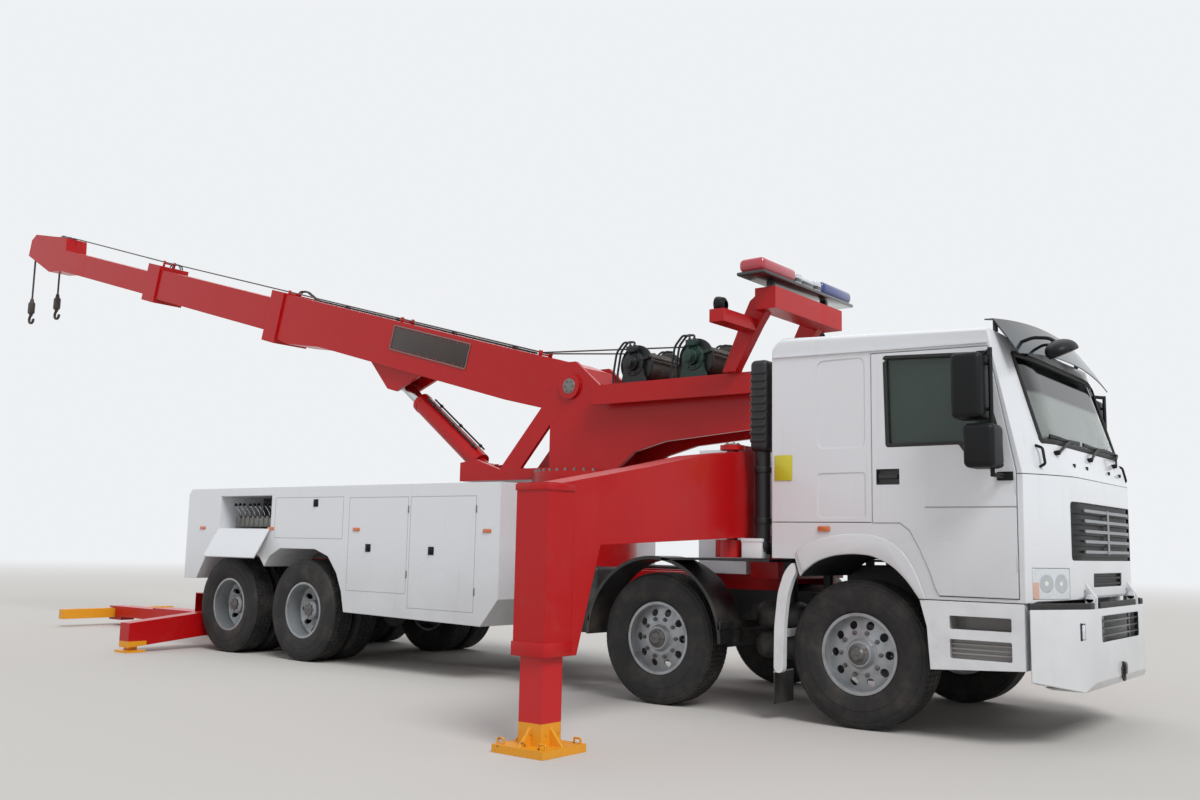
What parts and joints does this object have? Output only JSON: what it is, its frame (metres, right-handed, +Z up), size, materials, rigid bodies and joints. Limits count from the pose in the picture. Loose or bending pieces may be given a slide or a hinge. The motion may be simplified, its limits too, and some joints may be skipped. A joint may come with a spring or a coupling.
{
  "type": "recovery_truck",
  "caption": "Four-axle heavy recovery truck with a slewing telescopic boom, two winches, swing-out and slanted outriggers, side lockers and a folding underlift",
  "frame": {"origin": "Middle of the whole machine as pictured, on the ground: half way between the boom head tip and the tow hook, on the centre line.", "axes": "+X points forward out of the cab, +Y to the left side of the truck, +Z up from the ground."},
  "size_m": [17.2216, 7.31, 6.3317],
  "materials": {
    "white_paint": "gloss",
    "red_paint": "gloss",
    "yellow_paint": "satin",
    "dark_steel": "satin",
    "black_plastic": "matte",
    "smoked_plastic": "gloss",
    "lamp_plastic": "gloss",
    "window_glass": "gloss",
    "cab_trim": "matte",
    "hard_chrome": "polished",
    "hook_steel": "matte",
    "tyre_rubber": "matte",
    "rim_steel": "satin"
  },
  "bodies": {
    "truck": {"chassis_frame": "dark_steel", "subframe": "red_paint", "axles": "dark_steel", "engine_block": "dark_steel", "bumper": "white_paint", "steps_and_fenders": "black_plastic", "chassis_equipment": "dark_steel", "body_lockers": "white_paint"},
    "cab": {"cab_shell": "white_paint", "lamps": "lamp_plastic", "cab_glass": "window_glass", "cab_interior": "cab_trim", "grille": "black_plastic", "sun_visor": "smoked_plastic"},
    "door_right": {"door_right": "white_paint", "door_glass_right": "window_glass", "mirror_right": "black_plastic"},
    "door_left": {"door_left": "white_paint", "door_glass_left": "window_glass", "mirror_left": "black_plastic"},
    "knuckle_front_right": {"knuckle_front_right": "dark_steel"},
    "knuckle_front_left": {"knuckle_front_left": "dark_steel"},
    "knuckle_second_right": {"knuckle_second_right": "dark_steel"},
    "knuckle_second_left": {"knuckle_second_left": "dark_steel"},
    "turret": {"turret_frame": "red_paint", "winches": "dark_steel", "light_bar": "lamp_plastic"},
    "boom": {"boom_base": "red_paint"},
    "boom_mid": {"boom_mid": "red_paint"},
    "boom_tip": {"boom_tip": "red_paint", "hooks": "hook_steel"},
    "lift_barrel": {"lift_barrel": "red_paint"},
    "lift_rod": {"lift_rod": "hard_chrome"},
    "outrigger_arm_right": {"outrigger_arm_right": "red_paint"},
    "outrigger_arm_left": {"outrigger_arm_left": "red_paint"},
    "outrigger_leg_right": {"outrigger_leg_right": "yellow_paint"},
    "outrigger_leg_left": {"outrigger_leg_left": "yellow_paint"},
    "rear_outrigger_right": {"rear_outrigger_right": "red_paint"},
    "rear_outrigger_left": {"rear_outrigger_left": "red_paint"},
    "underlift_arm": {"underlift_arm": "red_paint"},
    "underlift_inner": {"underlift_inner": "red_paint"},
    "underlift_head": {"underlift_head": "yellow_paint"},
    "locker_flap_right": {"locker_flap_right": "white_paint"},
    "locker_flap_left": {"locker_flap_left": "white_paint"},
    "wheel_front_right": {"tyre_front_right": "tyre_rubber", "rim_front_right": "rim_steel"},
    "wheel_front_left": {"tyre_front_left": "tyre_rubber", "rim_front_left": "rim_steel"},
    "wheel_second_right": {"tyre_second_right": "tyre_rubber", "rim_second_right": "rim_steel"},
    "wheel_second_left": {"tyre_second_left": "tyre_rubber", "rim_second_left": "rim_steel"},
    "wheel_third_right": {"tyre_third_right": "tyre_rubber", "rim_third_right": "rim_steel"},
    "wheel_third_left": {"tyre_third_left": "tyre_rubber", "rim_third_left": "rim_steel"},
    "wheel_fourth_right": {"tyre_fourth_right": "tyre_rubber", "rim_fourth_right": "rim_steel"},
    "wheel_fourth_left": {"tyre_fourth_left": "tyre_rubber", "rim_fourth_left": "rim_steel"}
  },
  "joints": [
    {"name": "cab_tilt", "type": "hinge", "parent": "truck", "child": "cab", "pos_m": [8.53079, 0, 0.99], "axis": [0, 1, 0], "range_deg": [0, 50]},
    {"name": "door_right_swing", "type": "hinge", "parent": "cab", "child": "door_right", "pos_m": [8.24979, -1.248, 1.8], "axis": [0, 0, 1], "range_deg": [0, 70]},
    {"name": "door_left_swing", "type": "hinge", "parent": "cab", "child": "door_left", "pos_m": [8.24979, 1.248, 1.8], "axis": [0, 0, -1], "range_deg": [0, 70]},
    {"name": "steer_front_right", "type": "hinge", "parent": "truck", "child": "knuckle_front_right", "pos_m": [7.05079, -0.83, 0.538], "axis": [0, 0, 1], "range_deg": [-38, 38]},
    {"name": "spin_front_right", "type": "hinge", "parent": "knuckle_front_right", "child": "wheel_front_right", "pos_m": [7.05079, -1.025, 0.538], "axis": [0, 1, 0], "continuous": true},
    {"name": "steer_front_left", "type": "hinge", "parent": "truck", "child": "knuckle_front_left", "pos_m": [7.05079, 0.83, 0.538], "axis": [0, 0, 1], "range_deg": [-38, 38]},
    {"name": "spin_front_left", "type": "hinge", "parent": "knuckle_front_left", "child": "wheel_front_left", "pos_m": [7.05079, 1.025, 0.538], "axis": [0, 1, 0], "continuous": true},
    {"name": "steer_second_right", "type": "hinge", "parent": "truck", "child": "knuckle_second_right", "pos_m": [5.25079, -0.83, 0.538], "axis": [0, 0, 1], "range_deg": [-21, 21]},
    {"name": "spin_second_right", "type": "hinge", "parent": "knuckle_second_right", "child": "wheel_second_right", "pos_m": [5.25079, -1.025, 0.538], "axis": [0, 1, 0], "continuous": true},
    {"name": "steer_second_left", "type": "hinge", "parent": "truck", "child": "knuckle_second_left", "pos_m": [5.25079, 0.83, 0.538], "axis": [0, 0, 1], "range_deg": [-21, 21]},
    {"name": "spin_second_left", "type": "hinge", "parent": "knuckle_second_left", "child": "wheel_second_left", "pos_m": [5.25079, 1.025, 0.538], "axis": [0, 1, 0], "continuous": true},
    {"name": "spin_third_right", "type": "hinge", "parent": "truck", "child": "wheel_third_right", "pos_m": [0.65079, -0.92, 0.538], "axis": [0, 1, 0], "continuous": true},
    {"name": "spin_third_left", "type": "hinge", "parent": "truck", "child": "wheel_third_left", "pos_m": [0.65079, 0.92, 0.538], "axis": [0, 1, 0], "continuous": true},
    {"name": "spin_fourth_right", "type": "hinge", "parent": "truck", "child": "wheel_fourth_right", "pos_m": [-0.69921, -0.92, 0.538], "axis": [0, 1, 0], "continuous": true},
    {"name": "spin_fourth_left", "type": "hinge", "parent": "truck", "child": "wheel_fourth_left", "pos_m": [-0.69921, 0.92, 0.538], "axis": [0, 1, 0], "continuous": true},
    {"name": "turret_slew", "type": "hinge", "parent": "truck", "child": "turret", "pos_m": [3.55079, 0, 1.945], "axis": [0, 0, 1], "continuous": true},
    {"name": "boom_luff", "type": "hinge", "parent": "turret", "child": "boom", "pos_m": [3.55079, 0, 2.87], "axis": [0, 1, 0], "range_deg": [-8, 30]},
    {"name": "boom_mid_extend", "type": "slide", "parent": "boom", "child": "boom_mid", "axis": [0.965, 0, -0.2622], "range_m": [0, 2.8]},
    {"name": "boom_tip_extend", "type": "slide", "parent": "boom_mid", "child": "boom_tip", "axis": [0.965, 0, -0.2622], "range_m": [0, 2.65]},
    {"name": "lift_barrel_pin", "type": "hinge", "parent": "turret", "child": "lift_barrel", "pos_m": [2.15079, 0, 2.085], "axis": [0, 1, 0], "range_deg": [-9, 33]},
    {"name": "lift_rod_stroke", "type": "slide", "parent": "lift_barrel", "child": "lift_rod", "axis": [-0.799, 0, 0.6013], "range_m": [-0.225, 0.83]},
    {"name": "outrigger_arm_right_swing", "type": "hinge", "parent": "truck", "child": "outrigger_arm_right", "pos_m": [5.97079, -1.15, 1.7], "axis": [0, 0, -1], "range_deg": [0, 90]},
    {"name": "outrigger_leg_right_lift", "type": "slide", "parent": "outrigger_arm_right", "child": "outrigger_leg_right", "axis": [0, 0, 1], "range_m": [0, 0.42]},
    {"name": "rear_outrigger_right_extend", "type": "slide", "parent": "truck", "child": "rear_outrigger_right", "axis": [0, 0.9954, 0.0959], "range_m": [0, 0.75]},
    {"name": "outrigger_arm_left_swing", "type": "hinge", "parent": "truck", "child": "outrigger_arm_left", "pos_m": [5.97079, 1.15, 1.7], "axis": [0, 0, 1], "range_deg": [0, 90]},
    {"name": "outrigger_leg_left_lift", "type": "slide", "parent": "outrigger_arm_left", "child": "outrigger_leg_left", "axis": [0, 0, 1], "range_m": [0, 0.42]},
    {"name": "rear_outrigger_left_extend", "type": "slide", "parent": "truck", "child": "rear_outrigger_left", "axis": [0, -0.9954, 0.0959], "range_m": [0, 0.75]},
    {"name": "underlift_fold", "type": "hinge", "parent": "truck", "child": "underlift_arm", "pos_m": [-1.84921, 0, 0.96], "axis": [0, 1, 0], "range_deg": [0, 75]},
    {"name": "underlift_extend", "type": "slide", "parent": "underlift_arm", "child": "underlift_inner", "axis": [1, 0, 0], "range_m": [0, 0.7]},
    {"name": "underlift_head_swivel", "type": "hinge", "parent": "underlift_inner", "child": "underlift_head", "pos_m": [-5.21421, 0, 0.178], "axis": [0, 0, 1], "range_deg": [-20, 20]},
    {"name": "locker_flap_right_hinge", "type": "hinge", "parent": "truck", "child": "locker_flap_right", "pos_m": [-0.42921, -1.262, 1.392], "axis": [-1, 0, 0], "range_deg": [0, 150]},
    {"name": "locker_flap_left_hinge", "type": "hinge", "parent": "truck", "child": "locker_flap_left", "pos_m": [-0.42921, 1.262, 1.392], "axis": [-1, 0, 0], "range_deg": [0, 150]}
  ],
  "couplings": [
    {"joint": "steer_front_left", "follows": "steer_front_right", "ratio": 1},
    {"joint": "steer_second_right", "follows": "steer_front_right", "ratio": 0.55},
    {"joint": "steer_second_left", "follows": "steer_front_right", "ratio": 0.55},
    {"joint": "lift_barrel_pin", "follows": "boom_luff", "ratio": 1.09},
    {"joint": "lift_rod_stroke", "follows": "boom_luff", "m_per_rad": 1.57}
  ]
}
